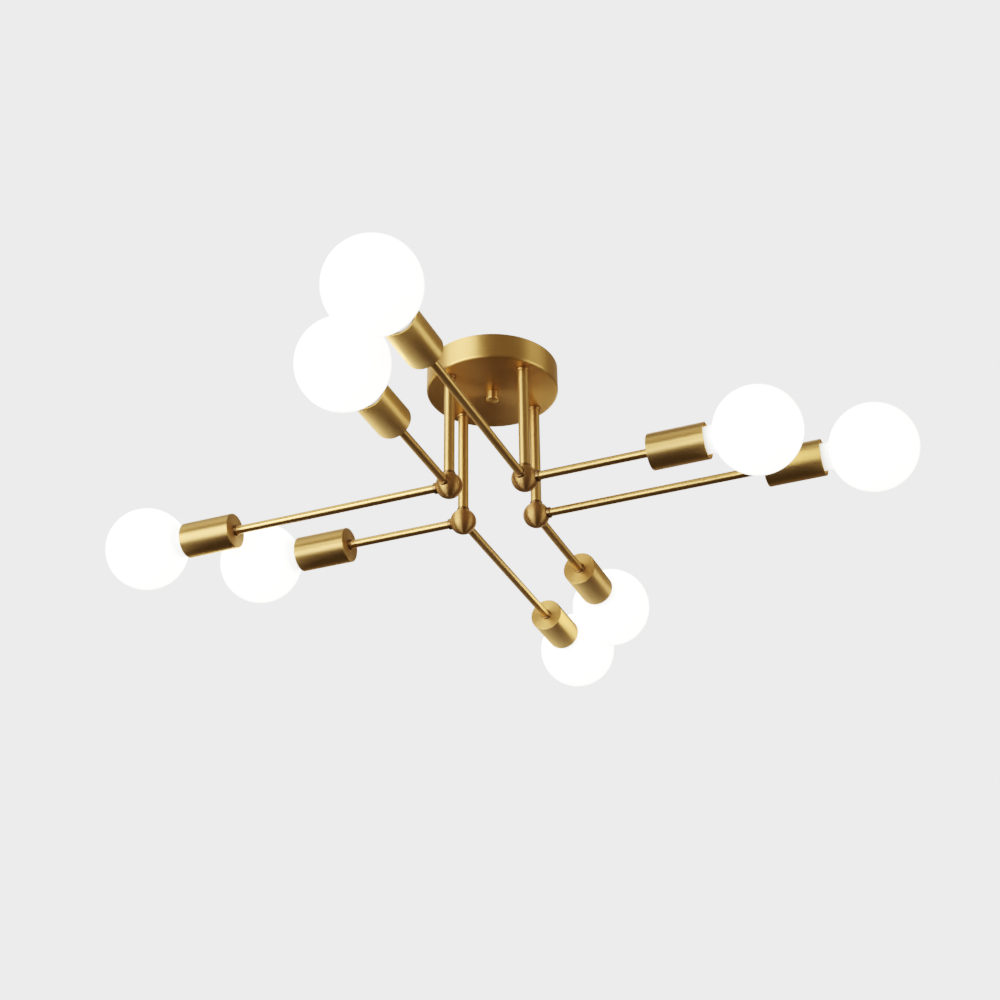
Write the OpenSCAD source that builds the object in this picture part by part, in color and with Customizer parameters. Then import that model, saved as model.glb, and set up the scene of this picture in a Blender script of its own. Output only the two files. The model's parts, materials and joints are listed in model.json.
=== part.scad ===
// Eight-light ceiling fixture: a drum canopy carries four stems on a square.
// Each stem ends in a ball hub with one long and one short arm at a right angle,
// and each arm ends in a cup that hides the lampholder of a globe bulb.
// Millimetres. Origin: centre of the ceiling plane. +Z points up into the ceiling,
// the arms run along X and Y, and everything hangs below z = 0.

/* [Canopy] */
// Outside diameter of the canopy
canopy_d = 150; // [146:1:180]
// Height from the ceiling to the canopy's face
canopy_h = 30.5; // [28:0.5:40]
// Thickness of the spun sheet
canopy_wall = 1.5; // [1:0.1:2]
// Radius of the rolled edge around the face
canopy_edge_r = 3; // [2:0.5:5]

/* [Ceiling bar] */
// Length of the bar that is screwed to the outlet box
bar_len = 108; // [104:1:120]
// Width of the bar
bar_w = 18; // [16:1:22]
// Thickness of the bar
bar_t = 2.5; // [2:0.1:3]
// Distance between the two outlet box screws
box_screw_spacing = 88.9; // [88.9:0.1:89]
// Width of each screw slot
slot_w = 4.8; // [4.4:0.1:5.2]
// Length of each screw slot, end to end
slot_len = 12; // [10:0.5:14]

/* [Stems] */
// Radius of the circle that the four stems stand on
stem_circle_r = 59; // [57:0.5:60]
// Turn of the stem square against the arms
stem_turn = 12.4; // [8:0.1:16]
// Outside diameter of a stem
stem_d = 12; // [11.5:0.1:12.5]
// Distance from the ceiling down to the hub centres
hub_drop = 171; // [140:1:240]
// Diameter of the threaded ends of a stem
stem_end_d = 9.8; // [9.6:0.1:10]
// Bore of a stem, for the two lamp leads
stem_bore_d = 7.6; // [7.4:0.1:8]

/* [Hubs and arms] */
// Diameter of a ball hub
hub_d = 29.6; // [28:0.1:32]
// Outside diameter of an arm
arm_d = 9.4; // [9:0.1:10]
// Wall of an arm tube
arm_wall = 1; // [0.8:0.1:1.2]
// Hub centre to globe centre on a long arm
long_reach = 380; // [360:1:400]
// Hub centre to globe centre on a short arm
short_reach = 258; // [250:1:262]

/* [Cups and lampholders] */
// Outside diameter of a cup
cup_d = 40; // [39:0.5:42]
// Length of a cup
cup_len = 62.5; // [60:0.5:66]
// Wall of a cup
cup_wall = 1.5; // [1.2:0.1:1.8]
// Mouth of the cup to the globe centre
mouth_gap = 53.5; // [53:0.5:55]
// Outside diameter of a lampholder body
holder_d = 33.6; // [33:0.1:34.6]

/* [Bulbs] */
// Diameter of a globe
globe_d = 95; // [94:1:96]
// Diameter of the neck below the globe
neck_d = 29.6; // [28.6:0.2:30]
// Thickness of the glass
glass_t = 1; // [0.8:0.1:1.4]
// Crest diameter of the bulb's screw thread
thread_d = 26.4; // [26:0.1:26.4]

/* [Hidden] */
$fn = 64;

brass = [0.72, 0.55, 0.28];
dark_brass = [0.56, 0.41, 0.20];
zinc = [0.74, 0.75, 0.76];
porcelain = [0.92, 0.91, 0.87];
sheath = [0.12, 0.12, 0.13];
opal = [0.97, 0.97, 0.95];

LONG = 0;                          // arm numbers within a branch
SHORT = 1;
reach = [long_reach, short_reach];

snug = 0.05;                       // radial clearance of pieces that sit in each other
swivel_gap = 0.3;                  // clearance on each side of the canopy's face
canopy_r = canopy_d / 2;
stem_hole_r = stem_end_d / 2 + snug;
stem_top_z = -canopy_h + 13;       // top of the threaded upper end, inside the canopy
tube_top_z = -canopy_h - swivel_gap;

collar_h = 3;
upper_collar_d = 14.6;
lower_collar_d = 14.2;
stem_nut_af = 14;                  // across flats
stem_nut_h = 5;

hub_flat = hub_d / 2 - 1.5;        // hub centre to the spot-faced flats
end_depth = 6.8;                   // how far threaded ends sink into a hub

ring_d = 12.5;                     // rings on the arms
hub_ring_h = 4;
cup_ring_h = 3;

cup_back_t = 2;
cup_edge_r = 1.2;
arm_end_in_cup = 8;                // arm end beyond the inside of the cup's back

stud_r = 5;
stud_bore_r = 3.2;
stud_end_z = -canopy_h - 6.5;
finial_d = 14.5;
finial_h = 10;

ground_x = 27;
ground_r = 2;

cable_r = 1.4;                     // two-core lamp lead
cable_offset = 2.1;                // of each lead from the stem axis
cable_bend_r = 3;

holder_to_globe = 63.5;            // mouth of the lampholder to the globe centre
holder_back = cup_back_t + 0.1;    // these four are measured from the cup's back
holder_mouth = cup_len + mouth_gap - holder_to_globe;
holder_floor = 25;
lead_end = 14;
shell_r = 13.6;                    // bore of the metal screw shell
shell_t = 0.4;

base_top = 62.2;                   // all measured from the globe centre towards the holder
base_end = 84.5;
tip_end = 89.5;
thread_pitch = 3.63;
neck_end = 57;
seal_end = 67;
seal_r = 11.7;                     // glass inside the metal base
neck_fillet = 6;

// Direction, in degrees, of hub i from the canopy's axis
function hub_angle(i) = stem_turn - 135 + 90 * i;
function hub_xy(i) = stem_circle_r * [cos(hub_angle(i)), sin(hub_angle(i))];
// Hub centre to the outside of the cup's back
function cup_back(k) = reach[k] - mouth_gap - cup_len;

// Puts its children on stem i, with x along the long arm and y along the short one
module on_stem(i) translate([hub_xy(i)[0], hub_xy(i)[1], 0]) rotate(180 + 90 * i) children();

module at_hub(i) translate([0, 0, -hub_drop]) on_stem(i) children();

// Puts its children in hub i with z along arm k
module on_arm(i, k) at_hub(i) rotate(90 * k) rotate([0, 90, 0]) children();

module tube(r, bore_r, h) difference() {
    cylinder(r = r, h = h);
    translate([0, 0, -1]) cylinder(r = bore_r, h = h + 2);
}

// Outline of a disc of radius r and height h whose outer corner at the far end is round
module round_edge(r, h, edge) {
    square([r - edge, h]);
    square([r, h - edge]);
    translate([r - edge, h - edge]) circle(edge);
}

// Quarter bend in the xz plane about its own origin, from angle start to start + 90
module bend(radius, start) rotate([90, 0, 0]) rotate(start)
    rotate_extrude(angle = 90) translate([radius, 0]) circle(cable_r, $fn = 32);

// ---- Fixed to the ceiling ----

module canopy() color(brass) difference() {
    mirror([0, 0, 1]) rotate_extrude($fn = 128) difference() {
        round_edge(canopy_r, canopy_h, canopy_edge_r);
        translate([0, -canopy_wall])
            round_edge(canopy_r - canopy_wall, canopy_h, canopy_edge_r - canopy_wall / 2);
    }
    translate([0, 0, -canopy_h - 1]) cylinder(r = stud_r + 0.2, h = canopy_wall + 2);
    for (i = [0:3]) on_stem(i)
        translate([0, 0, -canopy_h - 1]) cylinder(r = stem_hole_r, h = canopy_wall + 2);
}

module slot(x) translate([x, 0, -bar_t - 1]) {
    half = (slot_len - slot_w) / 2;
    for (side = [-1, 1]) translate([side * half, 0, 0]) cylinder(d = slot_w, h = bar_t + 2);
    translate([-half, -slot_w / 2, 0]) cube([2 * half, slot_w, bar_t + 2]);
}

module crossbar() color(zinc) difference() {
    translate([0, 0, -bar_t]) intersection() {
        translate([-bar_len / 2, -bar_w / 2, 0]) cube([bar_len, bar_w, bar_t]);
        cylinder(d = bar_len, h = bar_t);
    }
    for (side = [-1, 1]) slot(side * box_screw_spacing / 2);
    translate([0, 0, -bar_t - 1]) cylinder(r = stud_r + snug, h = bar_t + 2);
    translate([ground_x, 0, -bar_t - 1]) cylinder(r = ground_r + snug, h = bar_t + 2);
}

module canopy_stud() color(zinc)
    translate([0, 0, stud_end_z]) tube(stud_r, stud_bore_r, -0.3 - stud_end_z);

module hex_nut(across, bore_r, h) difference() {
    cylinder(d = across / cos(30), h = h, $fn = 6);
    translate([0, 0, -1]) cylinder(r = bore_r, h = h + 2);
}

module stud_nut() color(zinc)
    translate([0, 0, -bar_t - 4.1]) hex_nut(15, stud_r + snug, 4);

module finial() color(brass) translate([0, 0, -canopy_h - 0.1]) mirror([0, 0, 1]) difference() {
    rotate_extrude() round_edge(finial_d / 2, finial_h, 1.5);
    translate([0, 0, -1]) cylinder(r = stud_r + snug, h = 8);
}

module ground_screw() color("green") translate([ground_x, 0, 0]) {
    translate([0, 0, -bar_t - 2.6]) cylinder(r = 3.8, h = 2.5);
    translate([0, 0, -bar_t - 0.1]) cylinder(r = ground_r, h = bar_t - 0.2);
}

// Inside the canopy: the leads of a stem bend inwards to a splice, and a ring feeds all four
lead_run_z = stem_top_z + 7;
canopy_bend_r = 4;
splice_start = 20;                 // stem axis to the splice
splice_len = 14;
splice_r = 4.6;
feed_ring_r = 20;

// Puts its children on stem i with x pointing at the canopy's axis
module inwards(i) translate([hub_xy(i)[0], hub_xy(i)[1], 0]) rotate(hub_angle(i) + 180) children();

module wire_connectors() color(porcelain)
    for (i = [0:3]) inwards(i) translate([splice_start, 0, lead_run_z]) rotate([0, 90, 0])
        rotate_extrude() round_edge(splice_r, splice_len, 1.5);

module canopy_leads() color(sheath) {
    for (i = [0:3], k = [LONG, SHORT]) {
        towards_arm = 135 - stem_turn + 90 * k;
        start = cable_offset * [cos(towards_arm), sin(towards_arm)];
        inwards(i) translate([start[0], start[1], 0]) {
            translate([0, 0, stem_top_z + 0.3])
                cylinder(r = cable_r, h = lead_run_z - canopy_bend_r - stem_top_z - 0.3);
            translate([canopy_bend_r, 0, lead_run_z - canopy_bend_r]) bend(canopy_bend_r, 90);
            translate([canopy_bend_r, 0, lead_run_z]) rotate([0, 90, 0])
                cylinder(r = cable_r, h = splice_start - 0.1 - canopy_bend_r - start[0]);
        }
    }
    translate([0, 0, lead_run_z]) rotate_extrude() translate([feed_ring_r, 0]) circle(cable_r);
    tap = stem_circle_r - splice_start - splice_len;
    for (i = [0:3]) rotate(hub_angle(i)) translate([feed_ring_r, 0, lead_run_z]) rotate([0, 90, 0])
        cylinder(r = cable_r, h = tap - feed_ring_r - 0.1);
    rotate(90 + stem_turn) translate([feed_ring_r, 0, lead_run_z])
        cylinder(r = cable_r, h = -0.5 - lead_run_z);
}

// ---- One branch: a stem with all that turns with it ----

module stem(i) color(brass) on_stem(i) difference() {
    bottom = -hub_drop + hub_flat;
    union() {
        translate([0, 0, bottom]) cylinder(d = stem_d, h = tube_top_z - bottom);
        translate([0, 0, bottom - end_depth])
            cylinder(d = stem_end_d, h = stem_top_z - bottom + end_depth);
    }
    translate([0, 0, -hub_drop]) cylinder(d = stem_bore_d, h = hub_drop);
}

module stem_fittings(i) color(dark_brass) on_stem(i) {
    translate([0, 0, tube_top_z - collar_h]) tube(upper_collar_d / 2, stem_d / 2 + snug, collar_h);
    translate([0, 0, -hub_drop + hub_flat]) tube(lower_collar_d / 2, stem_d / 2 + snug, collar_h);
    translate([0, 0, -canopy_h + canopy_wall + swivel_gap])
        hex_nut(stem_nut_af, stem_hole_r, stem_nut_h);
}

module hub(i) color(dark_brass) at_hub(i) difference() {
    intersection() {
        sphere(d = hub_d);
        translate(-hub_d / 2 * [1, 1, 1]) cube(hub_d / 2 + hub_flat);
    }
    cylinder(r = stem_hole_r, h = hub_d);
    for (k = [LONG, SHORT]) rotate(90 * k) rotate([0, 90, 0])
        cylinder(d = arm_d + 2 * snug, h = hub_d);
}

module arm(i, k) {
    start = hub_flat - end_depth;
    color(brass) on_arm(i, k) translate([0, 0, start])
        tube(arm_d / 2, arm_d / 2 - arm_wall, cup_back(k) + cup_back_t + arm_end_in_cup - start);
}

module arm_rings(i) color(dark_brass)
    for (k = [LONG, SHORT]) on_arm(i, k) {
        translate([0, 0, hub_flat]) tube(ring_d / 2, arm_d / 2 + snug, hub_ring_h);
        translate([0, 0, cup_back(k) - cup_ring_h]) tube(ring_d / 2, arm_d / 2 + snug, cup_ring_h);
    }

module cup(i, k) color(brass) on_arm(i, k) translate([0, 0, cup_back(k)]) difference() {
    translate([0, 0, cup_len]) mirror([0, 0, 1]) rotate_extrude() difference() {
        round_edge(cup_d / 2, cup_len, cup_edge_r);
        translate([0, -1]) square([cup_d / 2 - cup_wall, cup_len - cup_back_t + 1]);
    }
    translate([0, 0, -1]) cylinder(d = arm_d + 2 * snug, h = cup_back_t + 2);
}

module lampholders(i) color(porcelain)
    for (k = [LONG, SHORT]) on_arm(i, k) translate([0, 0, cup_back(k)]) difference() {
        translate([0, 0, holder_back]) rotate_extrude()
            round_edge(holder_d / 2, holder_mouth - holder_back, 1);
        cylinder(d = arm_d + 2 * snug, h = cup_back_t + arm_end_in_cup + 0.1);
        cylinder(r = cable_r + snug, h = lead_end + 0.1);
        translate([0, 0, holder_floor]) cylinder(r = shell_r + shell_t + snug, h = holder_mouth);
    }

module screw_shells(i) color(zinc)
    for (k = [LONG, SHORT]) on_arm(i, k) translate([0, 0, cup_back(k) + holder_floor]) {
        translate([0, 0, 3]) tube(shell_r + shell_t, shell_r, 21);
        translate([0, 0, 0.05])
            cylinder(r = 4, h = reach[k] - tip_end - cup_back(k) - holder_floor - 0.4);
    }

module leads(i) color(sheath)
    for (k = [LONG, SHORT]) at_hub(i) rotate(90 * k) {
        translate([cable_offset, 0, cable_bend_r])
            cylinder(r = cable_r, h = hub_drop + stem_top_z - cable_bend_r);
        translate([cable_offset + cable_bend_r, 0, cable_bend_r]) bend(cable_bend_r, 180);
        translate([cable_offset + cable_bend_r, 0, 0]) rotate([0, 90, 0])
            cylinder(r = cable_r, h = cup_back(k) + lead_end - cable_offset - cable_bend_r);
    }

// ---- Bulbs ----

// Half outline of the globe and its neck, drawn inside by inset, with the neck pointing down.
// The neck meets the globe in a hollow round, and runs past the sealed end by past.
module glass_outline(inset, past) {
    neck_r = neck_d / 2 - inset;
    fillet_x = neck_d / 2 + neck_fillet;
    fillet_y = -sqrt(pow(globe_d / 2 + neck_fillet, 2) - pow(fillet_x, 2));
    touch = atan2(-fillet_y, -fillet_x);
    steps = 4;
    intersection() {
        circle(globe_d / 2 - inset, $fn = 96);
        translate([0, -globe_d]) square([globe_d, 2 * globe_d]);
    }
    polygon([
        [0, -globe_d / 4], [neck_r, -globe_d / 4],
        for (t = [1:steps], a = touch + (180 - touch) * t / steps)
            [fillet_x, fillet_y] + (neck_fillet + inset) * [cos(a), sin(a)],
        [neck_r, -neck_end], [seal_r - inset, -base_top], [seal_r - inset, -seal_end - past],
        [0, -seal_end - past]
    ]);
}

module glass() rotate_extrude($fn = 96) difference() {
    glass_outline(0, 0);
    glass_outline(glass_t, 1);
}

module screw_base() difference() {
    crest = thread_d / 2;
    root = crest - 0.7;
    turns = 5;
    thread_top = base_top + 2;
    rotate_extrude() polygon([
        [0, -base_top], [root, -base_top],
        for (t = [0:turns - 1], p = [[root, 0], [crest, 0.3], [crest, 0.6], [root, 0.9]])
            [p[0], -thread_top - (t + p[1]) * thread_pitch],
        [root, -base_end], [5, -base_end - 3.2], [5, -tip_end + 0.8], [4, -tip_end], [0, -tip_end]
    ]);
    translate([0, 0, -base_end + 2]) cylinder(r = seal_r + snug, h = base_end);
}

module bulb(i, k) on_arm(i, k) translate([0, 0, reach[k]]) {
    color(opal) glass();
    color(zinc) screw_base();
}

canopy();
crossbar();
canopy_stud();
stud_nut();
finial();
ground_screw();
wire_connectors();
canopy_leads();
for (i = [0:3]) {
    b = ["a", "b", "c", "d"][i];
    stem(i);
    stem_fittings(i);
    hub(i);
    arm(i, LONG);
    arm(i, SHORT);
    arm_rings(i);
    cup(i, LONG);
    cup(i, SHORT);
    lampholders(i);
    screw_shells(i);
    leads(i);
    bulb(i, LONG);
    bulb(i, SHORT);
}
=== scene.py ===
import json
from math import atan2, cos, pi, radians, sin, sqrt, tan

import bmesh
import bpy
from mathutils import Matrix, Vector


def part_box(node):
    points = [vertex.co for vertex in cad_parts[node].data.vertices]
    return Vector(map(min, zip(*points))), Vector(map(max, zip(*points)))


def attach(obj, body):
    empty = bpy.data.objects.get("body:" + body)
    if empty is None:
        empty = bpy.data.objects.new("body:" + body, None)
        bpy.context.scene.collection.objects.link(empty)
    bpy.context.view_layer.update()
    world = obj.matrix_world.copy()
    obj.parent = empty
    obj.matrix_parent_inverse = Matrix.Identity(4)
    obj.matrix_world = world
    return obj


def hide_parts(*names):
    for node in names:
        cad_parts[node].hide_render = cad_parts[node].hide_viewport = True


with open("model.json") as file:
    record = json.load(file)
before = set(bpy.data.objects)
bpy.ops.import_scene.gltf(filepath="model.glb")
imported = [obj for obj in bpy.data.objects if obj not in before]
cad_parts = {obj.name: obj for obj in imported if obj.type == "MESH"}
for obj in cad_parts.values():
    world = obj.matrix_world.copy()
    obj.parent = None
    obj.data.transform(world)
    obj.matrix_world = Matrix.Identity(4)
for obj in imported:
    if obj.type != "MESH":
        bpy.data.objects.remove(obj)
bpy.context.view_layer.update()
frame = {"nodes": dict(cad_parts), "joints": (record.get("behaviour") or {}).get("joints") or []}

MM = 0.001
BRANCHES = "abcd"
ARMS = ("long", "short")
JOINTS = {joint["name"]: joint for joint in frame["joints"]}

# Sizes in metres that the boxes of the CAD nodes don't give
FIT = 0.05 * MM                # how far a bore stands off the tube or thread inside it
CUT_EDGE = 0.2 * MM            # the broken edge of a sawn tube or a drilled hole
CANOPY_WALL = 1.5 * MM
CANOPY_EDGE = 3 * MM
CANOPY_RIM_EDGE = 0.3 * MM
CANOPY_SEAT = 0.3 * MM         # between the canopy and the collars and nuts against it
DRILL_LENGTH = 10 * MM
FINIAL_EDGE = 1.6 * MM
FINIAL_RIM_EDGE = 0.4 * MM
STUD_R = 5 * MM
STUD_BORE = 3.2 * MM
FINE_PITCH = 1 * MM            # the thread of the stud and the stems
FINE_DEPTH = 0.5 * MM
NUT_CHAMFER = 0.6 * MM
STEM_BORE = 3.8 * MM
STEM_END_R = 4.9 * MM
STEM_SHOULDER = 0.4 * MM       # its rounding, and how far above it the thread starts
STEM_NUT_ACROSS = 14 * MM
STEM_NUT_H = 5 * MM
COLLAR_H = 3 * MM
UPPER_COLLAR_R = 7.3 * MM
LOWER_COLLAR_R = 7.1 * MM
RING_R = 6.25 * MM
RING_EDGE = 0.7 * MM           # collars have it too
HUB_RING = 4 * MM              # length of the ring between hub and arm
CUP_RING = 3 * MM              # length of the ring between arm and cup
HUB_FLAT = 1.5 * MM            # depth of the spot faces on a hub
ARM_WALL = 1 * MM
CUP_WALL = 1.5 * MM
CUP_BACK = 2 * MM
CUP_EDGE = 1.2 * MM
CUP_LIP_EDGE = 0.6 * MM
CUP_CORNER = 1 * MM
CUP_HOLE_EDGE = 0.3 * MM
NECK_R = 14.8 * MM
NECK_FILLET = 6 * MM
NECK_END = 57 * MM             # this and the next two are measured from the globe's centre
BASE_TOP = 62.2 * MM
BASE_END = 84.5 * MM
SEAL_R = 11.7 * MM
SEAL_H = 3 * MM
SEAL_EDGE = 0.5 * MM
SHOULDER_EDGE = 2 * MM
LAMP_PITCH = 3.63 * MM
LAMP_THREAD_DEPTH = 0.6 * MM
LAMP_THREAD_ROOT = 12.9 * MM
CONTACT_R = 4.8 * MM
CONTACT_H = 1.2 * MM
CONTACT_EDGE = 0.8 * MM
FOOT_R = 5 * MM                # the insulator's narrow end, round the contact
FOOT_RISE = 0.9 * MM           # from the contact's tip to that end
FOOT_EDGE = 0.4 * MM
HEEL_R = 12.6 * MM             # the insulator's wide end, inside the screw shell
HEEL_EDGE = 1 * MM
HEEL_H = 0.8 * MM


# ---------------------------------------------------------------- mesh helpers

ON_AXIS = 1e-7                 # a radius below this is a single point on the axis
LONGEST = 12 * MM              # straight runs of an outline are cut into pieces near this


def rounded(corners, steps=5, closed=True):
    """Points and outward normals of an outline of (radius, height, fillet) corners.

    The outline runs anticlockwise in the (radius, height) plane, so the solid is on its left."""
    points = []
    count = len(corners)
    for i, (r, z, fillet) in enumerate(corners):
        here = Vector((r, z))
        before = Vector(corners[i - 1][:2]) if closed or i > 0 else None
        after = Vector(corners[(i + 1) % count][:2]) if closed or i < count - 1 else None
        came = (here - before).normalized() if before else None
        goes = (after - here).normalized() if after else None
        if came is None or goes is None or fillet == 0:
            way = came or goes
            points.append((here, Vector((way.y, -way.x))))
            continue
        turn = atan2(came.x * goes.y - came.y * goes.x, came.dot(goes))
        cut = fillet * tan(abs(turn) / 2)
        start = atan2(-came.x, came.y)
        side = 1 if turn > 0 else -1
        normal = Vector((came.y, -came.x))
        centre = here - came * cut - side * fillet * normal
        for step in range(steps + 1):
            angle = start + turn * step / steps
            normal = Vector((cos(angle), sin(angle)))
            points.append((centre + side * fillet * normal, normal))
    return points


def arc(centre, radius, start, end, steps, side=1):
    """Points and normals along a circle, in degrees; side is -1 on a hollow curve."""
    points = []
    for step in range(steps + 1):
        angle = radians(start + (end - start) * step / steps)
        normal = Vector((cos(angle), sin(angle)))
        points.append((Vector(centre) + side * radius * normal, normal))
    return points


def along(origin, direction):
    """A matrix that puts z along direction from origin, with x level."""
    z = Vector(direction).normalized()
    x = Vector((0, 0, 1)).cross(z)
    x = x.normalized() if x.length > 0.01 else Vector((1, 0, 0))
    axes = Matrix((x, z.cross(x), z)).transposed()
    return Matrix.Translation(Vector(origin)) @ axes.to_4x4()


def finish_piece(mesh, name, material, body, stands_for):
    """Makes the mesh a piece that rides on body, in place of the CAD nodes it stands for."""
    piece = bpy.data.objects.new(name, mesh)
    bpy.context.scene.collection.objects.link(piece)
    mesh.materials.append(material)
    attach(piece, body)
    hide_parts(*stands_for)
    return piece


def divided(points, closed):
    """The same outline with its long straight runs cut into short ones."""
    short = []
    following = points[1:] + (points[:1] if closed else [])
    for (point, normal), (next_point, next_normal) in zip(points, following):
        pieces = max(1, round((next_point - point).length / LONGEST))
        for i in range(pieces):
            share = i / pieces
            short.append((point.lerp(next_point, share), normal.lerp(next_normal, share)))
    return short if closed else short + [points[-1]]


def revolve(name, points, place, closed=True, segments=72, shape=None):
    """A mesh turned from points and normals about place's z axis, with rings in u and length in v.

    shape(angle, radius, height) may return another radius, such as a thread's or a nut's."""
    vertices, normals, rows = [], [], []
    points = divided(points, closed)
    turn = place.to_3x3()
    for point, normal in points:
        row = []
        if point.x < ON_AXIS:
            row.append(len(vertices))
            vertices.append(place @ Vector((0, 0, point.y)))
            normals.append(turn @ Vector((0, 0, normal.y)))
        else:
            for j in range(segments):
                angle = 2 * pi * j / segments
                c, s = cos(angle), sin(angle)
                radius = shape(angle, point.x, point.y) if shape else point.x
                row.append(len(vertices))
                vertices.append(place @ Vector((radius * c, radius * s, point.y)))
                normals.append(turn @ Vector((normal.x * c, normal.x * s, normal.y)))
        rows.append(row)
    lengths = [0.0]
    for (point, _), (next_point, _) in zip(points, points[1:] + points[:1]):
        lengths.append(lengths[-1] + (next_point - point).length)
    faces, coords = [], []
    pairs = len(points) if closed else len(points) - 1
    for i in range(pairs):
        low, high = rows[i], rows[(i + 1) % len(points)]
        v0, v1 = lengths[i], lengths[i + 1]
        for j in range(segments):
            u0, u1 = j / segments, (j + 1) / segments
            k = (j + 1) % segments
            if len(low) > 1 and len(high) > 1:
                faces.append((low[j], low[k], high[k], high[j]))
                coords += [(u0, v0), (u1, v0), (u1, v1), (u0, v1)]
            elif len(high) > 1:
                faces.append((low[0], high[k], high[j]))
                coords += [(u0, v0), (u1, v1), (u0, v1)]
            elif len(low) > 1:
                faces.append((low[j], low[k], high[0]))
                coords += [(u0, v0), (u1, v0), (u0, v1)]
    mesh = bpy.data.meshes.new(name)
    mesh.from_pydata(vertices, [], faces)
    layer = mesh.uv_layers.new(name="turned")
    layer.data.foreach_set("uv", [value for pair in coords for value in pair])
    mesh.shade_smooth()
    if shape is None:
        mesh.normals_split_custom_set_from_vertices(normals)
    return mesh


def tube_outline(bore, radius, low, high, fillet):
    """A plain tube or ring with all four of its edges rounded alike."""
    return rounded([(bore, low, fillet), (radius, low, fillet),
                    (radius, high, fillet), (bore, high, fillet)])


def cut_holes(piece, centres, radius, depth):
    """Drills an upright hole through piece at each centre, and keeps its smooth shading."""
    cutters = bpy.data.meshes.new("cutter")
    cutter_mesh = bmesh.new()
    for centre in centres:
        bmesh.ops.create_cone(cutter_mesh, cap_ends=True, segments=32, radius1=radius, radius2=radius,
                              depth=depth, matrix=Matrix.Translation(centre))
    cutter_mesh.to_mesh(cutters)
    cutter_mesh.free()
    cutter = bpy.data.objects.new("cutter", cutters)
    bpy.context.scene.collection.objects.link(cutter)
    drill = piece.modifiers.new("drill", "BOOLEAN")
    drill.object = cutter
    drill.operation = "DIFFERENCE"
    drill.solver = "EXACT"
    bpy.context.view_layer.update()
    depsgraph = bpy.context.evaluated_depsgraph_get()
    drilled = bpy.data.meshes.new_from_object(piece.evaluated_get(depsgraph))
    piece.modifiers.clear()
    piece.data = drilled
    bpy.data.objects.remove(cutter)
    drilled.set_sharp_from_angle(angle=radians(35))


# ---------------------------------------------------------------- materials

QUARTER_TURN = 0.25            # a groove spreads a reflection across itself
RING_SHARE = 0.6               # of a turned metal's shade; the rest is cloudiness
SHADE_SPREAD = (0.35, 0.65)    # the stretch of a noise over which a colour changes
VALUE_SPREAD = (0.3, 0.7)      # and over which a value does
FINE_GRAIN = 40e-6             # how deep the bumps of the brushed metals are
GLOW_FROM = 14 * MM            # along the glass outline, from its sealed end
GLOW_TO = 40 * MM
GLOW_DIM, GLOW_FULL = 0.05, 2.3
RIM_FROM = 0.75                # how edge-on the glass is where it begins to dim
RIM_DIM = 0.45


def blank(name):
    """A new material, its nodes and links, and its Principled shader."""
    material = bpy.data.materials.new(name)
    material.use_nodes = True
    nodes = material.node_tree.nodes
    return material, nodes, material.node_tree.links, nodes["Principled BSDF"]


def noise_of(nodes, links, source, scale, stretch=(1, 1, 1), detail=3.0):
    """A noise texture on a stretched coordinate; returns its factor socket."""
    mapping = nodes.new("ShaderNodeMapping")
    mapping.inputs["Scale"].default_value = stretch
    links.new(source, mapping.inputs["Vector"])
    noise = nodes.new("ShaderNodeTexNoise")
    noise.inputs["Scale"].default_value = scale
    noise.inputs["Detail"].default_value = detail
    links.new(mapping.outputs["Vector"], noise.inputs["Vector"])
    return noise.outputs["Fac"]


def ramp_of(nodes, links, factor, low, high):
    """A colour between low and high that follows a noise's factor."""
    ramp = nodes.new("ShaderNodeValToRGB")
    for stop, position, colour in zip(ramp.color_ramp.elements, SHADE_SPREAD, (low, high)):
        stop.position = position
        stop.color = (*colour, 1)
    links.new(factor, ramp.inputs["Fac"])
    return ramp.outputs["Color"]


def range_of(nodes, links, factor, low, high):
    """A value between low and high that follows a noise's factor."""
    ranged = nodes.new("ShaderNodeMapRange")
    ranged.inputs["From Min"].default_value = VALUE_SPREAD[0]
    ranged.inputs["From Max"].default_value = VALUE_SPREAD[1]
    ranged.inputs["To Min"].default_value = low
    ranged.inputs["To Max"].default_value = high
    links.new(factor, ranged.inputs["Value"])
    return ranged.outputs["Result"]


def bump_of(nodes, links, height, shader, strength, distance):
    """Gives the shader a bumped normal."""
    bump = nodes.new("ShaderNodeBump")
    bump.inputs["Strength"].default_value = strength
    bump.inputs["Distance"].default_value = distance
    links.new(height, bump.inputs["Height"])
    links.new(bump.outputs["Normal"], shader.inputs["Normal"])


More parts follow.
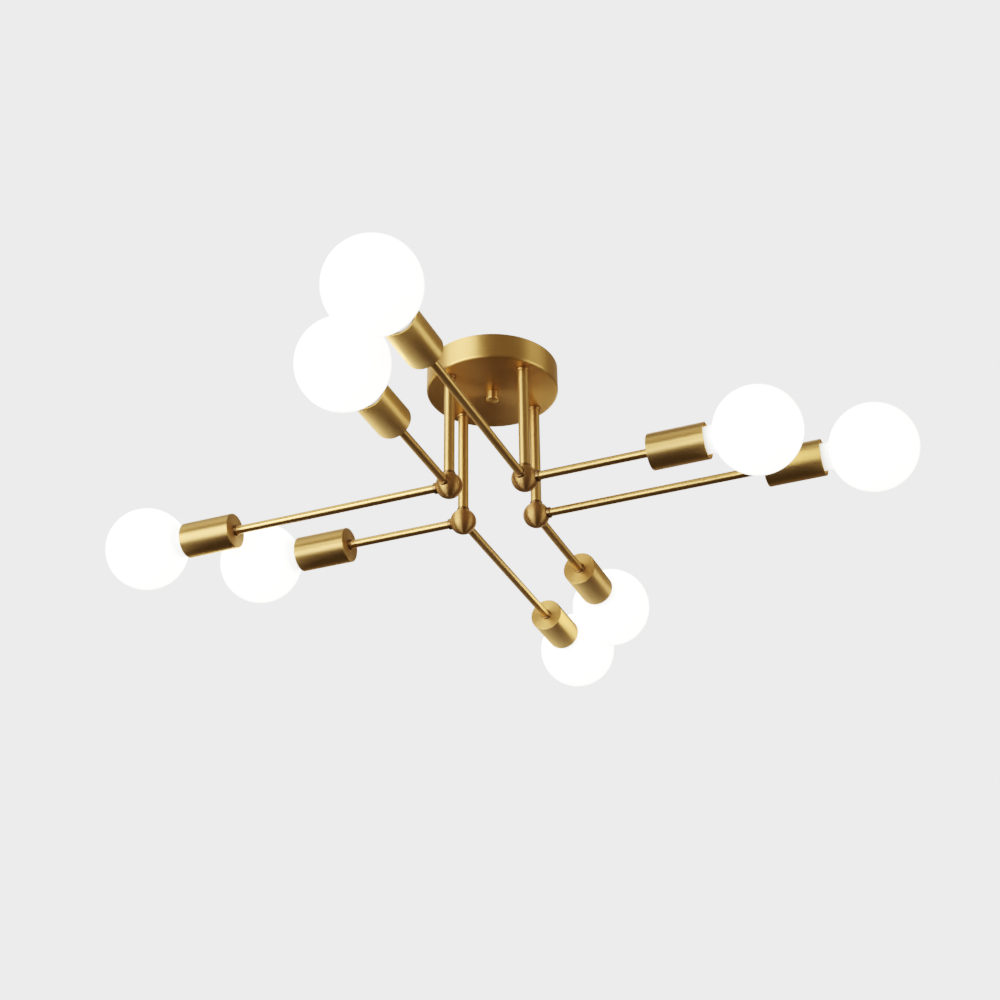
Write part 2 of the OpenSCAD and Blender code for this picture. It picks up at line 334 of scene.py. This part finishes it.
def turned_metal(name, light, dark, roughness, anisotropy, lines, grain):
    """Lathe-brushed metal: fine rings around each turned piece, with a little cloudiness."""
    material, nodes, links, shader = blank(name)
    coords = nodes.new("ShaderNodeTexCoord")
    rings = noise_of(nodes, links, coords.outputs["UV"], 1.0, (2.0, lines, 1.0), 2.0)
    clouds = noise_of(nodes, links, coords.outputs["Object"], 22.0, detail=4.0)
    scaled = nodes.new("ShaderNodeMath")
    scaled.operation = "MULTIPLY"
    scaled.inputs[1].default_value = 1 - RING_SHARE
    links.new(clouds, scaled.inputs[0])
    blend = nodes.new("ShaderNodeMath")
    blend.operation = "MULTIPLY_ADD"
    blend.inputs[1].default_value = RING_SHARE
    links.new(rings, blend.inputs[0])
    links.new(scaled.outputs[0], blend.inputs[2])
    colour = ramp_of(nodes, links, blend.outputs[0], dark, light)
    links.new(colour, shader.inputs["Base Color"])
    cloudy = range_of(nodes, links, clouds, roughness - 0.03, roughness + 0.03)
    links.new(cloudy, shader.inputs["Roughness"])
    bump_of(nodes, links, rings, shader, grain, FINE_GRAIN)
    shader.inputs["Metallic"].default_value = 1.0
    shader.inputs["Anisotropic"].default_value = anisotropy
    shader.inputs["Anisotropic Rotation"].default_value = QUARTER_TURN
    tangent = nodes.new("ShaderNodeTangent")
    tangent.direction_type = "UV_MAP"
    tangent.uv_map = "turned"
    links.new(tangent.outputs["Tangent"], shader.inputs["Tangent"])
    return material


def speckled(name, light, dark, roughness, metallic=0.0, scale=300.0, coat=0.0):
    """Cast, plated, glazed or moulded surface, with a fine even texture."""
    material, nodes, links, shader = blank(name)
    coords = nodes.new("ShaderNodeTexCoord")
    fine = noise_of(nodes, links, coords.outputs["Object"], scale)
    broad = noise_of(nodes, links, coords.outputs["Object"], scale / 12)
    links.new(ramp_of(nodes, links, broad, dark, light), shader.inputs["Base Color"])
    speckles = range_of(nodes, links, fine, roughness - 0.05, roughness + 0.08)
    links.new(speckles, shader.inputs["Roughness"])
    bump_of(nodes, links, fine, shader, 0.2, 50e-6)
    shader.inputs["Metallic"].default_value = metallic
    shader.inputs["Coat Weight"].default_value = coat
    return material


def opal_glass():
    """Frosted opal glass, lit from inside, and dimmer down the neck and towards its outline."""
    material, nodes, links, shader = blank("opal_glass")
    coords = nodes.new("ShaderNodeTexCoord")
    frost = noise_of(nodes, links, coords.outputs["Object"], 900.0)
    split = nodes.new("ShaderNodeSeparateXYZ")
    links.new(coords.outputs["UV"], split.inputs["Vector"])
    glow = nodes.new("ShaderNodeMapRange")
    glow.inputs["From Min"].default_value = GLOW_FROM
    glow.inputs["From Max"].default_value = GLOW_TO
    glow.inputs["To Min"].default_value = GLOW_DIM
    glow.inputs["To Max"].default_value = GLOW_FULL
    links.new(split.outputs["Y"], glow.inputs["Value"])
    limb = nodes.new("ShaderNodeLayerWeight")
    rim = nodes.new("ShaderNodeMapRange")
    rim.inputs["From Min"].default_value = RIM_FROM
    rim.inputs["To Min"].default_value = 1.0
    rim.inputs["To Max"].default_value = RIM_DIM
    links.new(limb.outputs["Facing"], rim.inputs["Value"])
    dimmed = nodes.new("ShaderNodeMath")
    dimmed.operation = "MULTIPLY"
    links.new(glow.outputs["Result"], dimmed.inputs[0])
    links.new(rim.outputs["Result"], dimmed.inputs[1])
    links.new(dimmed.outputs[0], shader.inputs["Emission Strength"])
    milky = ramp_of(nodes, links, frost, (0.46, 0.48, 0.44), (0.54, 0.55, 0.51))
    links.new(milky, shader.inputs["Base Color"])
    links.new(range_of(nodes, links, frost, 0.32, 0.42), shader.inputs["Roughness"])
    bump_of(nodes, links, frost, shader, 0.1, 30e-6)
    shader.inputs["Emission Color"].default_value = (1.0, 0.99, 0.96, 1)
    return material


BRASS_CANOPY = turned_metal("brass_canopy", (0.87, 0.56, 0.185), (0.79, 0.48, 0.145),
                            roughness=0.44, anisotropy=0.88, lines=2600.0, grain=0.35)
# The flat ends of the canopy and the cups take darker copies of the brass: painted shade.
BRASS_FACE_PAINTED_SHADE = turned_metal("brass_face_painted_shade", (0.68, 0.43, 0.145), (0.61, 0.37, 0.115),
                          roughness=0.45, anisotropy=0.62, lines=2600.0, grain=0.3)
BRASS_CAP_PAINTED_SHADE = turned_metal("brass_cap_painted_shade", (0.60, 0.37, 0.115), (0.53, 0.315, 0.093),
                         roughness=0.45, anisotropy=0.62, lines=2600.0, grain=0.3)
BRASS_CUP = turned_metal("brass_cup", (0.91, 0.615, 0.222), (0.84, 0.535, 0.178),
                         roughness=0.52, anisotropy=0.94, lines=2600.0, grain=0.35)
BRASS_TUBE = turned_metal("brass_tube", (0.83, 0.53, 0.18), (0.80, 0.51, 0.17),
                          roughness=0.40, anisotropy=0.80, lines=5000.0, grain=0.01)
BRASS_HUB = turned_metal("brass_hub", (0.72, 0.435, 0.148), (0.62, 0.355, 0.115),
                         roughness=0.50, anisotropy=0.84, lines=2200.0, grain=0.12)
# Rings and lower collars are a darker copy of the brass: painted shade where they sit against hubs, stems
# and cups.
RING_BRASS_PAINTED_SHADE = turned_metal("ring_brass_painted_shade", (0.42, 0.26, 0.10), (0.34, 0.20, 0.075),
                           roughness=0.36, anisotropy=0.85, lines=2200.0, grain=0.15)
ZINC = speckled("zinc_plate", (0.72, 0.73, 0.74), (0.60, 0.61, 0.62), 0.36, metallic=1.0)
NICKEL = speckled("nickel_plate", (0.80, 0.78, 0.72), (0.70, 0.68, 0.62), 0.22, metallic=1.0)
GREEN = speckled("ground_green", (0.10, 0.38, 0.14), (0.07, 0.30, 0.10), 0.35, metallic=0.4)
PORCELAIN = speckled("porcelain", (0.86, 0.85, 0.80), (0.80, 0.79, 0.74), 0.22, coat=0.5)
NYLON = speckled("nylon", (0.82, 0.81, 0.76), (0.76, 0.75, 0.70), 0.42)
SHEATH = speckled("cable_sheath", (0.035, 0.035, 0.04), (0.02, 0.02, 0.024), 0.45)
INSULATOR = speckled("black_glass", (0.015, 0.015, 0.02), (0.01, 0.01, 0.012), 0.12)
OPAL = opal_glass()


# ---------------------------------------------------------------- canopy and its fixings

def paint_shade_on_flat_ends(mesh, axis, material):
    """Gives the flat ends of a turned piece, square to axis, a darker copy of its brass: painted shade.
    """
    mesh.materials.append(material)
    for polygon in mesh.polygons:
        polygon.material_index = int(abs(polygon.normal.dot(axis)) > 0.9)


def build_canopy():
    low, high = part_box("canopy")
    radius, face, rim = high.x, low.z, high.z
    hole = STUD_R + CUT_EDGE
    inside = radius - CANOPY_WALL
    roof = face + CANOPY_WALL
    points = rounded([(hole, face, CUT_EDGE), (radius, face, CANOPY_EDGE), (radius, rim, CANOPY_RIM_EDGE),
                      (inside, rim, CANOPY_RIM_EDGE), (inside, roof, CANOPY_EDGE / 2),
                      (hole, roof, CUT_EDGE)], steps=8)
    mesh = revolve("canopy_shell", points, Matrix.Identity(4), segments=180)
    piece = finish_piece(mesh, "canopy_shell", BRASS_CANOPY, "ceiling_side", ["canopy"])
    # The canopy's flat face gets the darker brass: painted shade.
    paint_shade_on_flat_ends(mesh, Vector((0, 0, 1)), BRASS_FACE_PAINTED_SHADE)
    return piece


def build_finial():
    low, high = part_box("finial")
    radius = high.x
    points = rounded([(0, low.z, 0), (radius, low.z, FINIAL_EDGE), (radius, high.z, FINIAL_RIM_EDGE),
                      (0, high.z, 0)], steps=8, closed=False)
    mesh = revolve("finial_cap", points, Matrix.Identity(4), closed=False, segments=64)
    finish_piece(mesh, "finial_cap", BRASS_TUBE, "ceiling_side", ["finial"])


def thread_rows(low, high, radius, pitch, depth):
    """Six rows to each pitch, from low to high; helix() gives them a screw thread's ridges."""
    count = int((high - low) / pitch * 6)
    rows = []
    for i in range(count + 1):
        rows.append((Vector((radius - depth / 2, low + (high - low) * i / count)), Vector((1, 0))))
    return rows


def helix(low, high, pitch, depth):
    """A shape for revolve that adds a screw thread between two heights."""
    def radius_at(angle, radius, height):
        if not low <= height <= high:
            return radius
        fade = min(1.0, (height - low) / pitch, (high - height) / pitch)
        return radius + fade * depth / 2 * cos(angle - 2 * pi * height / pitch)
    return radius_at


def build_stud():
    low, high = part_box("canopy_stud")
    points = [(Vector((STUD_BORE, low.z)), Vector((0, -1)))]
    points += thread_rows(low.z, high.z, STUD_R, FINE_PITCH, FINE_DEPTH)
    points += [(Vector((STUD_BORE, high.z)), Vector((0, 1)))]
    thread = helix(low.z, high.z, FINE_PITCH, FINE_DEPTH)
    mesh = revolve("threaded_stud", points, Matrix.Identity(4), segments=32, shape=thread)
    mesh.set_sharp_from_angle(angle=radians(60))
    finish_piece(mesh, "threaded_stud", ZINC, "ceiling_side", ["canopy_stud"])


def hex_nut(name, place, across, bore, height):
    """A nut with chamfered corners, from place along its z axis."""
    flat = across / 2

    def radius_at(angle, radius, level):
        if radius < flat * 0.9:
            return radius
        turned = (angle + pi / 6) % (pi / 3) - pi / 6
        hexagon = flat / cos(turned)
        return min(hexagon, flat * 1.02) if level in (0.0, height) else hexagon
    outline = ((bore, 0.0), (flat, 0.0), (flat, NUT_CHAMFER),
               (flat, height - NUT_CHAMFER), (flat, height), (bore, height))
    points = [(Vector(corner), Vector((1, 0))) for corner in outline]
    mesh = revolve(name, points, place, segments=72, shape=radius_at)
    mesh.set_sharp_from_angle(angle=radians(18))
    return mesh


def build_stud_nut():
    low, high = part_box("stud_nut")
    place = Matrix.Translation((0, 0, low.z)) @ Matrix.Rotation(pi / 6, 4, "Z")
    mesh = hex_nut("bar_nut", place, high.y - low.y, STUD_R + FIT, high.z - low.z)
    finish_piece(mesh, "bar_nut", ZINC, "ceiling_side", ["stud_nut"])


# ---------------------------------------------------------------- branches

def build_stem(branch, x, y, hub_z, hub_r):
    """A stem tube with its threaded upper end, two collars and the nut inside the canopy."""
    body = "branch_" + branch
    low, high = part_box("stem_" + branch)
    radius = (high.x - low.x) / 2
    canopy_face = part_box("canopy")[0].z
    tube_low = hub_z + hub_r - HUB_FLAT
    tube_high = canopy_face - CANOPY_SEAT
    thread_low = tube_high + STEM_SHOULDER
    place = Matrix.Translation((x, y, 0))
    points = rounded([(STEM_BORE, tube_low, 0), (radius, tube_low, CUT_EDGE),
                      (radius, tube_high, STEM_SHOULDER),
                      (STEM_END_R - FINE_DEPTH / 2, tube_high, 0)], closed=False)
    points += thread_rows(thread_low, high.z, STEM_END_R, FINE_PITCH, FINE_DEPTH)
    points += [(Vector((STEM_BORE, high.z)), Vector((0, 1)))]
    name = f"stem_tube_{branch}"
    thread = helix(thread_low, high.z, FINE_PITCH, FINE_DEPTH)
    mesh = revolve(name, points, place, segments=64, shape=thread)
    mesh.set_sharp_from_angle(angle=radians(50))
    finish_piece(mesh, name, BRASS_TUBE, body, ["stem_" + branch])

    fittings = [f"stem_{branch}_fittings"]
    # The lower collar gets the darker ring brass: painted shade.
    for kind, collar_low, collar_r, metal in (("upper", tube_high - COLLAR_H, UPPER_COLLAR_R, BRASS_HUB),
                                              ("lower", tube_low, LOWER_COLLAR_R, RING_BRASS_PAINTED_SHADE)):
        outline = tube_outline(radius + FIT, collar_r, collar_low, collar_low + COLLAR_H, RING_EDGE)
        name = f"{kind}_collar_{branch}"
        mesh = revolve(name, outline, place, segments=64)
        finish_piece(mesh, name, metal, body, fittings)
    name = f"stem_nut_{branch}"
    nut_place = Matrix.Translation((x, y, canopy_face + CANOPY_WALL + CANOPY_SEAT))
    mesh = hex_nut(name, nut_place, STEM_NUT_ACROSS, STEM_END_R + FIT, STEM_NUT_H)
    finish_piece(mesh, name, BRASS_TUBE, body, fittings)


def build_hub(branch, centre, radius, directions):
    """A ball with a spot face cut flat towards each arm and the stem."""
    name = f"ball_{branch}"
    points = arc((0, 0), radius, -90, 90, 40)
    mesh = revolve(name, points, Matrix.Translation(centre), closed=False, segments=80)
    work = bmesh.new()
    work.from_mesh(mesh)
    for direction in [*directions, Vector((0, 0, 1))]:
        cut = bmesh.ops.bisect_plane(work, geom=work.verts[:] + work.edges[:] + work.faces[:],
                                     plane_co=centre + direction * (radius - HUB_FLAT),
                                     plane_no=direction, clear_outer=True)
        rim = [edge for edge in cut["geom_cut"] if isinstance(edge, bmesh.types.BMEdge)]
        bmesh.ops.holes_fill(work, edges=rim, sides=0)
    work.to_mesh(mesh)
    work.free()
    mesh.set_sharp_from_angle(angle=radians(20))
    finish_piece(mesh, name, BRASS_HUB, "branch_" + branch, ["hub_" + branch])


def reach_of(node, centre, direction):
    """The nearer and the farther end of a node along its arm, measured from the hub's centre."""
    low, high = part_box(node)
    return sorted([(low - centre).dot(direction), (high - centre).dot(direction)])


def radius_of(node):
    """The radius of a round node whose axis is level."""
    low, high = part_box(node)
    return (high.z - low.z) / 2


def build_arm(branch, length, centre, direction, hub_r):
    """An arm tube, its two rings and its cup, and then the bulb in it."""
    body = "branch_" + branch
    which = f"{branch}_{length}"
    arm, cup, bulb = "arm_" + which, "cup_" + which, "bulb_" + which
    radius = radius_of(arm)
    place = along(centre, direction)
    near = hub_r - HUB_FLAT
    arm_end = reach_of(arm, centre, direction)[1]
    cup_back, cup_mouth = reach_of(cup, centre, direction)
    outline = tube_outline(radius - ARM_WALL, radius, near, arm_end, CUT_EDGE)
    mesh = revolve("tube_" + which, outline, place, segments=56)
    finish_piece(mesh, "tube_" + which, BRASS_TUBE, body, [arm])
    # The rings get the darker ring brass: painted shade.
    for kind, start, width in (("hub", near, HUB_RING), ("cup", cup_back - CUP_RING, CUP_RING)):
        outline = tube_outline(radius + FIT, RING_R, start, start + width, RING_EDGE)
        name = f"ring_{which}_{kind}"
        mesh = revolve(name, outline, place, segments=56)
        finish_piece(mesh, name, RING_BRASS_PAINTED_SHADE, body, [f"arm_{branch}_rings"])

    cup_r = radius_of(cup)
    depth = cup_mouth - cup_back
    hole = radius + FIT
    outline = rounded([(hole, 0, CUP_HOLE_EDGE), (cup_r, 0, CUP_EDGE), (cup_r, depth, CUP_LIP_EDGE),
                       (cup_r - CUP_WALL, depth, CUP_LIP_EDGE), (cup_r - CUP_WALL, CUP_BACK, CUP_CORNER),
                       (hole, CUP_BACK, CUP_HOLE_EDGE)], steps=7)
    cup_place = along(centre + direction * cup_back, direction)
    mesh = revolve("cup_shell_" + which, outline, cup_place, segments=96)
    finish_piece(mesh, "cup_shell_" + which, BRASS_CUP, body, [cup])
    # The cup's flat back gets the darker brass: painted shade.
    paint_shade_on_flat_ends(mesh, direction, BRASS_CAP_PAINTED_SHADE)
    build_bulb(which, bulb, centre, direction)


def build_bulb(which, bulb, centre, direction):
    """A bulb's glass and the metal screw base on it, outlined from the globe's centre."""
    body = "lamp_" + which
    tip, crown = reach_of(bulb, centre, direction)
    globe_r = radius_of(bulb)
    place = along(centre + direction * (crown - globe_r), direction)
    build_glass("globe_" + which, place, globe_r, body, bulb)
    build_screw_shell("screw_shell_" + which, place, body, bulb)

    tip_z = -(crown - globe_r - tip)
    foot_z = tip_z + FOOT_RISE
    top_z = -BASE_END + HEEL_H
    foot = rounded([(0, foot_z, 0), (FOOT_R, foot_z, FOOT_EDGE), (HEEL_R, -BASE_END, HEEL_EDGE),
                    (HEEL_R - 0.1 * MM, top_z, 0), (0, top_z, 0)], closed=False)
    mesh = revolve("insulator_" + which, foot, place, closed=False, segments=48)
    finish_piece(mesh, "insulator_" + which, INSULATOR, body, [bulb])
    contact = rounded([(0, tip_z, 0), (CONTACT_R, tip_z, CONTACT_EDGE), (CONTACT_R, tip_z + CONTACT_H, 0),
                       (0, tip_z + CONTACT_H, 0)], closed=False)
    mesh = revolve("contact_" + which, contact, place, closed=False, segments=40)
    finish_piece(mesh, "contact_" + which, NICKEL, body, [bulb])


def build_glass(name, place, globe_r, body, bulb):
    """The globe, its neck and the seal that goes into the screw shell."""
    fillet_x = NECK_R + NECK_FILLET
    fillet_y = -sqrt((globe_r + NECK_FILLET) ** 2 - fillet_x ** 2)
    touch = atan2(fillet_y, fillet_x) * 180 / pi
    seal_end = -BASE_TOP - SEAL_H
    points = rounded([(0, seal_end, 0), (SEAL_R, seal_end, SEAL_EDGE), (SEAL_R, -BASE_TOP, SHOULDER_EDGE),
                      (NECK_R, -NECK_END, SHOULDER_EDGE), (NECK_R, fillet_y, 0)], closed=False)
    points += arc((fillet_x, fillet_y), NECK_FILLET, 0, touch, 10, side=-1)[1:]
    points += arc((0, 0), globe_r, touch, 90, 60)[1:]
    mesh = revolve(name, points, place, closed=False, segments=96)
    finish_piece(mesh, name, OPAL, body, [bulb])


def build_screw_shell(name, place, body, bulb):
    """The threaded metal sleeve of a bulb's base."""
    low, high = -BASE_END + 1 * MM, -BASE_TOP - 2 * MM
    crest = LAMP_THREAD_ROOT + LAMP_THREAD_DEPTH / 2
    sleeve = [(Vector((SEAL_R, -BASE_END)), Vector((0, -1)))]
    sleeve += [(Vector((LAMP_THREAD_ROOT, -BASE_END)), Vector((1, 0)))]
    sleeve += thread_rows(low, high, crest, LAMP_PITCH / 2, LAMP_THREAD_DEPTH)
    sleeve += [(Vector((LAMP_THREAD_ROOT, -BASE_TOP)), Vector((1, 0)))]
    sleeve += [(Vector((SEAL_R + 0.3 * MM, -BASE_TOP)), Vector((0, 1)))]
    thread = helix(low, high, LAMP_PITCH, LAMP_THREAD_DEPTH)
    mesh = revolve(name, sleeve, place, segments=64, shape=thread)
    mesh.set_sharp_from_angle(angle=radians(60))
    finish_piece(mesh, name, NICKEL, body, [bulb])


def build_branch(branch):
    """One stem with its hub, and the two arms that leave it along their bulbs' joint axes."""
    x, y, _ = JOINTS[f"stem_{branch}_swivel"]["pos_m"]
    arm_low, arm_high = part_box(f"arm_{branch}_long")
    hub_z = (arm_low.z + arm_high.z) / 2
    hub_r = hub_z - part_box("hub_" + branch)[0].z
    centre = Vector((x, y, hub_z))
    directions = [Vector(JOINTS[f"bulb_{branch}_{length}_unscrew"]["axis"]) for length in ARMS]
    build_stem(branch, x, y, hub_z, hub_r)
    build_hub(branch, centre, hub_r, directions)
    for length, direction in zip(ARMS, directions):
        build_arm(branch, length, centre, direction, hub_r)


# ---------------------------------------------------------------- the whole lamp

def dress(node, material):
    """Shows a CAD node as it is, in a new material."""
    for material_slot in frame["nodes"][node].material_slots:
        material_slot.link = "OBJECT"
        material_slot.material = material


dress("crossbar", ZINC)
dress("ground_screw", GREEN)
dress("wire_connectors", NYLON)
dress("canopy_leads", SHEATH)
for branch in BRANCHES:
    dress(f"lampholders_{branch}", PORCELAIN)
    dress(f"screw_shells_{branch}", NICKEL)
    dress(f"leads_{branch}", SHEATH)

canopy = build_canopy()
build_finial()
build_stud()
build_stud_nut()
for branch in BRANCHES:
    build_branch(branch)
stem_centres = [JOINTS[f"stem_{branch}_swivel"]["pos_m"] for branch in BRANCHES]
cut_holes(canopy, stem_centres, STEM_END_R + FIT, DRILL_LENGTH)


# ---------------------------------------------------------------- camera, light and floor

CAMERA_AT = (0.6326, -1.569, -1.1174)
CAMERA_YAW, CAMERA_PITCH, CAMERA_ROLL = -21.712, 29.24, -0.634
LENS = 63.24                   # in millimetres, as the sensor
SENSOR = 36
FAR = 60.0
FLOOR_Z = -2.4
FLOOR_HALF = 40.0
AIM = Vector((0, 0, -0.12))    # what the lights point at
WHITE = 3.0                    # the brightness at which the tone curve ends
# Brightness in the scene, and as shown
TONE = ((0.05, 0.037), (0.1, 0.084), (0.2, 0.187), (0.4, 0.36), (0.8, 0.59), (1.5, 0.80), (2.2, 0.92))
BACKDROP = 1.68                # the tone curve shows it as the studio's pale grey
SKY_LOW = (0.06, 0.045, 0.03)
SKY_HIGH = (0.16, 0.13, 0.09)
SKY = (                        # height from 0 at the bottom to 1 at the top, and colour
    (0.2, (0.09, 0.07, 0.05)),
    (0.42, (0.24, 0.195, 0.14)),
    (0.66, (0.31, 0.255, 0.18)),
    (0.9, (0.18, 0.15, 0.11)),
)
KEY_COLOUR = (1.0, 1.06, 1.28)
SOFT_COLOUR = (1.0, 1.04, 1.15)
LIGHTS = (                     # name, azimuth, elevation, distance, width, height, radiance, colour
    ("key", -50, -6, 2.1, 2.0, 1.7, 3.4, KEY_COLOUR),
    ("key_fill", -50, -9, 2.3, 2.5, 2.3, 2.0, KEY_COLOUR),
    ("left", -120, 0, 2.4, 1.8, 1.7, 0.35, SOFT_COLOUR),
    ("upper", -72, 50, 2.2, 2.0, 1.3, 1.5, SOFT_COLOUR),
    ("back", -168, 45, 2.4, 3.0, 2.4, 1.2, SOFT_COLOUR),
    ("side", 74, -10, 2.4, 1.5, 1.1, 2.4, SOFT_COLOUR),
)


def camera_axes():
    """The camera's right, up and forward directions."""
    yaw, pitch, roll = radians(CAMERA_YAW), radians(CAMERA_PITCH), radians(CAMERA_ROLL)
    forward = Vector((sin(yaw) * cos(pitch), cos(yaw) * cos(pitch), sin(pitch)))
    right = Vector((cos(yaw), -sin(yaw), 0))
    up = right.cross(forward)
    return cos(roll) * right + sin(roll) * up, cos(roll) * up - sin(roll) * right, forward


def add_camera():
    data = bpy.data.cameras.new("camera")
    data.lens = LENS
    data.sensor_width = SENSOR
    data.clip_end = FAR
    camera = bpy.data.objects.new("camera", data)
    bpy.context.scene.collection.objects.link(camera)
    right, up, forward = camera_axes()
    axes = Matrix((right, up, -forward)).transposed()
    camera.matrix_world = Matrix.Translation(CAMERA_AT) @ axes.to_4x4()
    bpy.context.scene.camera = camera


def softbox(name, azimuth, elevation, distance, width, height, radiance, colour):
    """A rectangular light that faces the lamp. Azimuth is in degrees to the right of the camera."""
    _, _, forward = camera_axes()
    towards = Vector((-forward.x, -forward.y, 0)).normalized()
    side = Matrix.Rotation(radians(azimuth), 3, "Z") @ towards
    height_above = Vector((0, 0, sin(radians(elevation))))
    place = AIM + distance * (cos(radians(elevation)) * side + height_above)
    data = bpy.data.lights.new(name, "AREA")
    data.shape = "RECTANGLE"
    data.size, data.size_y = width, height
    data.energy = radiance * pi * width * height
    data.color = colour
    light = bpy.data.objects.new(name, data)
    light.location = place
    light.rotation_euler = (AIM - place).to_track_quat("-Z", "Y").to_euler()
    light.visible_camera = False
    bpy.context.scene.collection.objects.link(light)


def set_world():
    """Dim, warm surroundings for reflections, and an even backdrop for everything else."""
    world = bpy.data.worlds.new("studio")
    bpy.context.scene.world = world
    world.use_nodes = True
    nodes, links = world.node_tree.nodes, world.node_tree.links
    nodes.clear()
    coords = nodes.new("ShaderNodeTexCoord")
    split = nodes.new("ShaderNodeSeparateXYZ")
    links.new(coords.outputs["Generated"], split.inputs["Vector"])
    height = nodes.new("ShaderNodeMapRange")
    height.inputs["From Min"].default_value = -1.0
    height.inputs["From Max"].default_value = 1.0
    links.new(split.outputs["Z"], height.inputs["Value"])
    ramp = nodes.new("ShaderNodeValToRGB")
    ramp.color_ramp.elements[0].color = (*SKY_LOW, 1)
    ramp.color_ramp.elements[1].color = (*SKY_HIGH, 1)
    for position, colour in SKY:
        stop = ramp.color_ramp.elements.new(position)
        stop.color = (*colour, 1)
    links.new(height.outputs["Result"], ramp.inputs["Fac"])
    lit = nodes.new("ShaderNodeBackground")
    links.new(ramp.outputs["Color"], lit.inputs["Color"])
    plain = nodes.new("ShaderNodeBackground")
    plain.inputs["Strength"].default_value = BACKDROP
    plain.inputs["Color"].default_value = (1, 1, 1, 1)
    path = nodes.new("ShaderNodeLightPath")
    mix = nodes.new("ShaderNodeMixShader")
    links.new(path.outputs["Is Glossy Ray"], mix.inputs["Fac"])
    links.new(plain.outputs["Background"], mix.inputs[1])
    links.new(lit.outputs["Background"], mix.inputs[2])
    output = nodes.new("ShaderNodeOutputWorld")
    links.new(mix.outputs["Shader"], output.inputs["Surface"])


def add_floor():
    material = speckled("pale_floor", (0.66, 0.66, 0.66), (0.64, 0.64, 0.64), 0.9, scale=40.0)
    mesh = bpy.data.meshes.new("floor")
    corners = [(x * FLOOR_HALF, y * FLOOR_HALF, FLOOR_Z) for x, y in ((-1, -1), (1, -1), (1, 1), (-1, 1))]
    mesh.from_pydata(corners, [], [(0, 1, 2, 3)])
    mesh.materials.append(material)
    floor = bpy.data.objects.new("floor", mesh)
    floor.visible_glossy = False
    bpy.context.scene.collection.objects.link(floor)


def set_tone():
    """A camera's tone curve: a little toe for rich shadows, and a soft shoulder that ends at WHITE."""
    settings = bpy.context.scene.view_settings
    settings.view_transform = "Standard"
    settings.use_curve_mapping = True
    mapping = settings.curve_mapping
    mapping.white_level = (WHITE, WHITE, WHITE)
    curve = mapping.curves[3]
    for scene_value, shown in TONE:
        curve.points.new(scene_value / WHITE, shown)
    mapping.update()


add_camera()
set_world()
add_floor()
for light in LIGHTS:
    softbox(*light)
set_tone()
